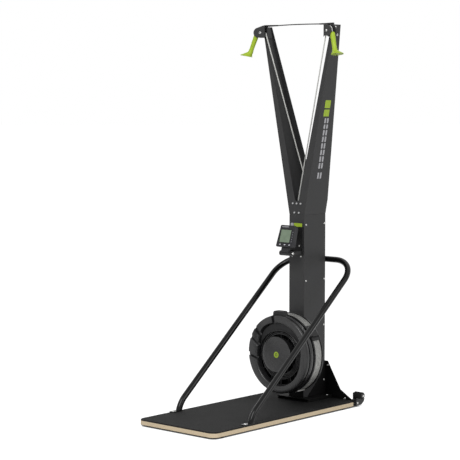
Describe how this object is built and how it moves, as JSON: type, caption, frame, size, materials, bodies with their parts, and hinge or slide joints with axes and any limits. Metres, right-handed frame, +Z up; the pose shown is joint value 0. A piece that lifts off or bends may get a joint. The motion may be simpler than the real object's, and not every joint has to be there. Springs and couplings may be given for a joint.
{
  "type": "ski trainer",
  "caption": "Floor-standing ski training machine: forked column, corded pull handles, fan flywheel in a drum housing, tilting monitor, brace tubes and a plywood platform with wheels.",
  "frame": {"origin": "on the floor, under the middle of the footprint from the platform's front edge to the rear wheel brackets", "axes": "+Z up; the user stands toward -Y and faces +Y; +X is on the user's right"},
  "size_m": [0.7268, 1.27, 2.16],
  "materials": {
    "black_steel": "satin black powder coat",
    "black_panel": "satin black powder coat",
    "bright_steel": "zinc plated",
    "black_plastic": "fine moulded texture",
    "grey_screen": "grey perforated sheet",
    "rubber": "matte",
    "plywood": "clear sealed plywood edge",
    "grip_sheet": "fine grit",
    "lime_plastic": "smooth moulded grip",
    "white_cord": "braided",
    "dark_cord": "braided elastic",
    "screen_glass": "grey green display",
    "button_white": "matte"
  },
  "bodies": {
    "stand": {"platform_board": "plywood", "platform_grip": "grip_sheet", "pad_strip_left": "rubber", "pad_strip_right": "rubber", "base_tray": "black_panel", "rear_crossbar": "black_panel", "rear_panel": "black_panel", "wheel_bracket_right": "black_panel", "wheel_bracket_left": "black_panel", "column": "black_steel", "rear_cover": "black_steel", "arm_right": "black_steel", "arm_left": "black_steel", "joint_plate": "bright_steel", "idler_bolt": "bright_steel", "top_bracket_right": "black_steel", "top_bracket_left": "black_steel", "drive_cord_right": "white_cord", "drive_cord_left": "white_cord", "handle_cord_right": "white_cord", "handle_cord_left": "white_cord", "return_cord": "dark_cord", "cord_sleeve_right": "rubber", "cord_sleeve_left": "rubber", "bearing_front": "black_steel", "bearing_rear": "black_steel", "housing_front": "black_plastic", "screen_band": "grey_screen", "band_clip": "grey_screen", "housing_rear": "black_plastic", "intake_guard": "black_plastic", "hub_cover": "black_plastic", "monitor_bracket": "black_plastic", "brace_right": "black_steel", "brace_left": "black_steel", "brace_saddle": "black_panel"},
    "flywheel": {"flywheel": "black_plastic", "flywheel_shaft": "bright_steel"},
    "monitor": {"monitor_front_case": "black_plastic", "monitor_back_case": "black_plastic", "monitor_lens": "screen_glass"},
    "damper": {"damper_lever": "black_plastic"},
    "handle_right": {"handle_right": "lime_plastic"},
    "handle_left": {"handle_left": "lime_plastic"},
    "top_pulley_right": {"top_pulley_right": "black_plastic"},
    "top_pulley_left": {"top_pulley_left": "black_plastic"},
    "idler_right": {"idler_right": "black_plastic"},
    "idler_left": {"idler_left": "black_plastic"},
    "drum_right": {"drum_right": "bright_steel"},
    "drum_left": {"drum_left": "bright_steel"},
    "wheel_right": {"transport_wheel_right": "rubber"},
    "wheel_left": {"transport_wheel_left": "rubber"},
    "side_button_1": {"side_button_1": "button_white"},
    "side_button_2": {"side_button_2": "button_white"},
    "side_button_3": {"side_button_3": "button_white"},
    "side_button_4": {"side_button_4": "button_white"},
    "side_button_5": {"side_button_5": "button_white"},
    "menu_button_1": {"menu_button_1": "button_white"},
    "menu_button_2": {"menu_button_2": "button_white"},
    "menu_button_3": {"menu_button_3": "button_white"}
  },
  "joints": [
    {"name": "flywheel_spin", "type": "hinge", "parent": "stand", "child": "flywheel", "pos_m": [0, 0.286, 0.315], "axis": [0, 1, 0], "continuous": true},
    {"name": "monitor_tilt", "type": "hinge", "parent": "stand", "child": "monitor", "pos_m": [0, 0.272, 0.88], "axis": [1, 0, 0], "range_deg": [-12, 27]},
    {"name": "damper_slide", "type": "hinge", "parent": "stand", "child": "damper", "pos_m": [0, 0.283, 0.315], "axis": [0, 1, 0], "range_deg": [-30, 60]},
    {"name": "pull_right", "type": "slide", "parent": "stand", "child": "handle_right", "axis": [0, 0, -1], "range_m": [0, 1.2], "stiffness_N_per_m": 12, "springref_m": -0.6, "deforming": ["handle_cord_right"]},
    {"name": "pull_left", "type": "slide", "parent": "stand", "child": "handle_left", "axis": [0, 0, -1], "range_m": [0, 1.2], "stiffness_N_per_m": 12, "springref_m": -0.6, "deforming": ["handle_cord_left"]},
    {"name": "top_pulley_spin_right", "type": "hinge", "parent": "stand", "child": "top_pulley_right", "pos_m": [0.245, 0.3369, 2.116], "axis": [0.2588, 0.9659, 0], "continuous": true},
    {"name": "top_pulley_spin_left", "type": "hinge", "parent": "stand", "child": "top_pulley_left", "pos_m": [-0.245, 0.3369, 2.116], "axis": [-0.2588, 0.9659, 0], "continuous": true},
    {"name": "idler_spin_right", "type": "hinge", "parent": "stand", "child": "idler_right", "pos_m": [0, 0.39, 1.155], "axis": [0, 1, 0], "continuous": true},
    {"name": "idler_spin_left", "type": "hinge", "parent": "stand", "child": "idler_left", "pos_m": [0, 0.47, 1.155], "axis": [0, 1, 0], "continuous": true},
    {"name": "drum_spin_right", "type": "hinge", "parent": "stand", "child": "drum_right", "pos_m": [0, 0.39, 0.315], "axis": [0, 1, 0], "continuous": true},
    {"name": "drum_spin_left", "type": "hinge", "parent": "stand", "child": "drum_left", "pos_m": [0, 0.47, 0.315], "axis": [0, 1, 0], "continuous": true},
    {"name": "wheel_spin_right", "type": "hinge", "parent": "stand", "child": "wheel_right", "pos_m": [0.272, 0.59, 0.063], "axis": [1, 0, 0], "continuous": true},
    {"name": "wheel_spin_left", "type": "hinge", "parent": "stand", "child": "wheel_left", "pos_m": [-0.272, 0.59, 0.063], "axis": [1, 0, 0], "continuous": true},
    {"name": "side_button_1_press", "type": "slide", "parent": "monitor", "child": "side_button_1", "axis": [0, 0.9537, -0.3007], "range_m": [0, 0.001], "stiffness_N_per_m": 600},
    {"name": "side_button_2_press", "type": "slide", "parent": "monitor", "child": "side_button_2", "axis": [0, 0.9537, -0.3007], "range_m": [0, 0.001], "stiffness_N_per_m": 600},
    {"name": "side_button_3_press", "type": "slide", "parent": "monitor", "child": "side_button_3", "axis": [0, 0.9537, -0.3007], "range_m": [0, 0.001], "stiffness_N_per_m": 600},
    {"name": "side_button_4_press", "type": "slide", "parent": "monitor", "child": "side_button_4", "axis": [0, 0.9537, -0.3007], "range_m": [0, 0.001], "stiffness_N_per_m": 600},
    {"name": "side_button_5_press", "type": "slide", "parent": "monitor", "child": "side_button_5", "axis": [0, 0.9537, -0.3007], "range_m": [0, 0.001], "stiffness_N_per_m": 600},
    {"name": "menu_button_1_press", "type": "slide", "parent": "monitor", "child": "menu_button_1", "axis": [0, 0.9537, -0.3007], "range_m": [0, 0.001], "stiffness_N_per_m": 600},
    {"name": "menu_button_2_press", "type": "slide", "parent": "monitor", "child": "menu_button_2", "axis": [0, 0.9537, -0.3007], "range_m": [0, 0.001], "stiffness_N_per_m": 600},
    {"name": "menu_button_3_press", "type": "slide", "parent": "monitor", "child": "menu_button_3", "axis": [0, 0.9537, -0.3007], "range_m": [0, 0.001], "stiffness_N_per_m": 600}
  ],
  "couplings": [
    {"joint": "top_pulley_spin_right", "follows": "pull_right", "rad_per_m": 41.152},
    {"joint": "idler_spin_right", "follows": "pull_right", "rad_per_m": 59.524},
    {"joint": "drum_spin_right", "follows": "pull_right", "rad_per_m": 33.557},
    {"joint": "top_pulley_spin_left", "follows": "pull_left", "rad_per_m": -41.152},
    {"joint": "idler_spin_left", "follows": "pull_left", "rad_per_m": -59.524},
    {"joint": "drum_spin_left", "follows": "pull_left", "rad_per_m": -33.557}
  ]
}
